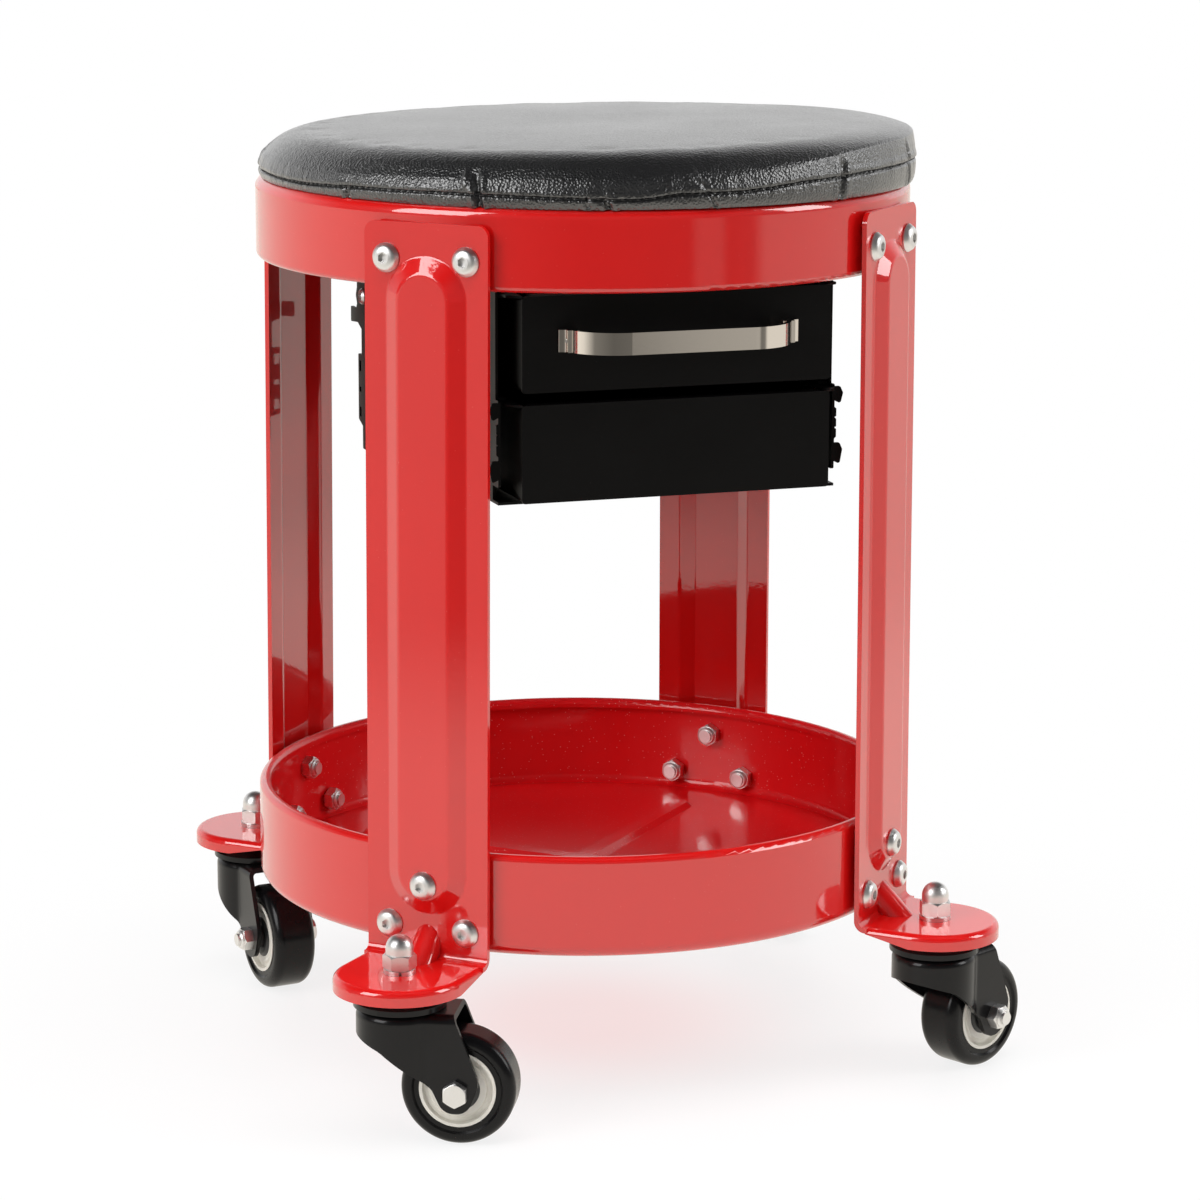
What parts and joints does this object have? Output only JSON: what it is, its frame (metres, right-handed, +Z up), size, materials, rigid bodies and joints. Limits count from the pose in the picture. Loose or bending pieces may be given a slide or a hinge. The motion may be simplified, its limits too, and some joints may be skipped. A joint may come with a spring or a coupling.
{
  "type": "rolling mechanic seat",
  "caption": "Low round rolling work seat with a padded top, sheet-metal legs, two sliding drawers under the seat, a round tool tray and swivel casters.",
  "frame": {"origin": "on the floor, on the vertical centre line of the round seat and tray", "axes": "+Z up, drawers open towards -Y, +X to the right of somebody facing the drawers; the legs stand on the diagonals"},
  "size_m": [0.334, 0.3154, 0.4375],
  "materials": {
    "red_enamel": "glossy",
    "black_enamel": "satin",
    "caster_black": "glossy",
    "zinc_plate": "satin",
    "chrome": "polished",
    "vinyl": "semi-gloss grained vinyl",
    "board": "raw",
    "tyre": "smooth",
    "wheel_core": "cream",
    "wheel_bush": "dark"
  },
  "bodies": {
    "frame": {"seat_cushion": "vinyl", "seat_board": "board", "seat_pan": "red_enamel", "tray": "red_enamel", "leg_screws": "zinc_plate", "leg_screws_long": "zinc_plate", "leg_nuts": "zinc_plate", "tee_nuts": "zinc_plate", "seat_bolts": "zinc_plate", "drawer_hanger_left": "black_enamel", "drawer_hanger_right": "black_enamel", "drawer_stop_strap": "black_enamel", "strap_screws": "zinc_plate", "strap_nuts": "zinc_plate", "caster_stems": "zinc_plate", "stem_collars": "caster_black", "race_cups": "caster_black", "spring_washers": "zinc_plate", "dome_nuts": "zinc_plate", "leg_front_left": "red_enamel", "leg_front_right": "red_enamel", "leg_rear_left": "red_enamel", "leg_rear_right": "red_enamel"},
    "upper_drawer": {"upper_drawer": "black_enamel", "drawer_handle": "chrome", "handle_screws": "zinc_plate"},
    "lower_drawer": {"lower_drawer": "black_enamel"},
    "caster_front_left": {"fork_front_left": "caster_black", "axle_bolt_front_left": "zinc_plate", "axle_nut_front_left": "zinc_plate"},
    "wheel_front_left": {"tyre_front_left": "tyre", "wheel_core_front_left": "wheel_core", "wheel_bush_front_left": "wheel_bush"},
    "caster_front_right": {"fork_front_right": "caster_black", "axle_bolt_front_right": "zinc_plate", "axle_nut_front_right": "zinc_plate"},
    "wheel_front_right": {"tyre_front_right": "tyre", "wheel_core_front_right": "wheel_core", "wheel_bush_front_right": "wheel_bush"},
    "caster_rear_left": {"fork_rear_left": "caster_black", "axle_bolt_rear_left": "zinc_plate", "axle_nut_rear_left": "zinc_plate"},
    "wheel_rear_left": {"tyre_rear_left": "tyre", "wheel_core_rear_left": "wheel_core", "wheel_bush_rear_left": "wheel_bush"},
    "caster_rear_right": {"fork_rear_right": "caster_black", "axle_bolt_rear_right": "zinc_plate", "axle_nut_rear_right": "zinc_plate"},
    "wheel_rear_right": {"tyre_rear_right": "tyre", "wheel_core_rear_right": "wheel_core", "wheel_bush_rear_right": "wheel_bush"}
  },
  "joints": [
    {"name": "upper_drawer_slide", "type": "slide", "parent": "frame", "child": "upper_drawer", "axis": [0, -1, 0], "range_m": [0, 0.12]},
    {"name": "lower_drawer_slide", "type": "slide", "parent": "frame", "child": "lower_drawer", "axis": [0, -1, 0], "range_m": [0, 0.12]},
    {"name": "swivel_front_left", "type": "hinge", "parent": "frame", "child": "caster_front_left", "pos_m": [-0.12728, -0.12728, 0.06], "axis": [0, 0, 1], "continuous": true},
    {"name": "wheel_spin_front_left", "type": "hinge", "parent": "caster_front_left", "child": "wheel_front_left", "pos_m": [-0.10322, -0.13954, 0.0254], "axis": [0.454, 0.891, 0], "continuous": true},
    {"name": "swivel_front_right", "type": "hinge", "parent": "frame", "child": "caster_front_right", "pos_m": [0.12728, -0.12728, 0.06], "axis": [0, 0, 1], "continuous": true},
    {"name": "wheel_spin_front_right", "type": "hinge", "parent": "caster_front_right", "child": "wheel_front_right", "pos_m": [0.15155, -0.11544, 0.0254], "axis": [-0.4384, 0.8988, 0], "continuous": true},
    {"name": "swivel_rear_left", "type": "hinge", "parent": "frame", "child": "caster_rear_left", "pos_m": [-0.12728, 0.12728, 0.06], "axis": [0, 0, 1], "continuous": true},
    {"name": "wheel_spin_rear_left", "type": "hinge", "parent": "caster_rear_left", "child": "wheel_rear_left", "pos_m": [-0.12352, 0.10054, 0.0254], "axis": [0.9903, 0.1392, 0], "continuous": true},
    {"name": "swivel_rear_right", "type": "hinge", "parent": "frame", "child": "caster_rear_right", "pos_m": [0.12728, 0.12728, 0.06], "axis": [0, 0, 1], "continuous": true},
    {"name": "wheel_spin_rear_right", "type": "hinge", "parent": "caster_rear_right", "child": "wheel_rear_right", "pos_m": [0.14078, 0.1039, 0.0254], "axis": [0.866, 0.5, 0], "continuous": true}
  ]
}
